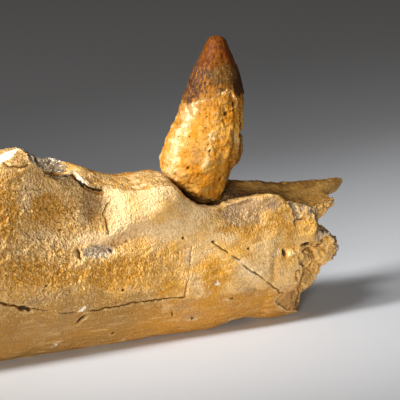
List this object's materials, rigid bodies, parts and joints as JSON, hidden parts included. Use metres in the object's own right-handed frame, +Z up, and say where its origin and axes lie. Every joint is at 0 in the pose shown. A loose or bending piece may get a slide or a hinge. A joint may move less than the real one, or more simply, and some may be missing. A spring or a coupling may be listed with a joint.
{
  "type": "fossil mosasaur jaw",
  "caption": "Fossil length of a sea reptile's lower jaw with a pointed tooth standing in its socket, resting upright on its worn lower edge.",
  "frame": {"origin": "middle of the whole fossil's box in plan, at the height of the flat worn on the jaw's lower edge", "axes": "+X forwards along the jaw, towards the front break; +Y from the outer face to the inner face; +Z up, the way the tooth points"},
  "size_m": [0.2414, 0.0466, 0.124],
  "materials": {
    "fossil_bone": "mineralised bone: ochre to cream, fibrous and pitted, matt to faintly waxed",
    "fossil_tooth": "glossy red-brown enamel with fine upright ridges over a matt, bubbly orange root"
  },
  "bodies": {
    "root": {"jaw_bone": "fossil_bone", "tooth": "fossil_tooth"}
  },
  "joints": []
}
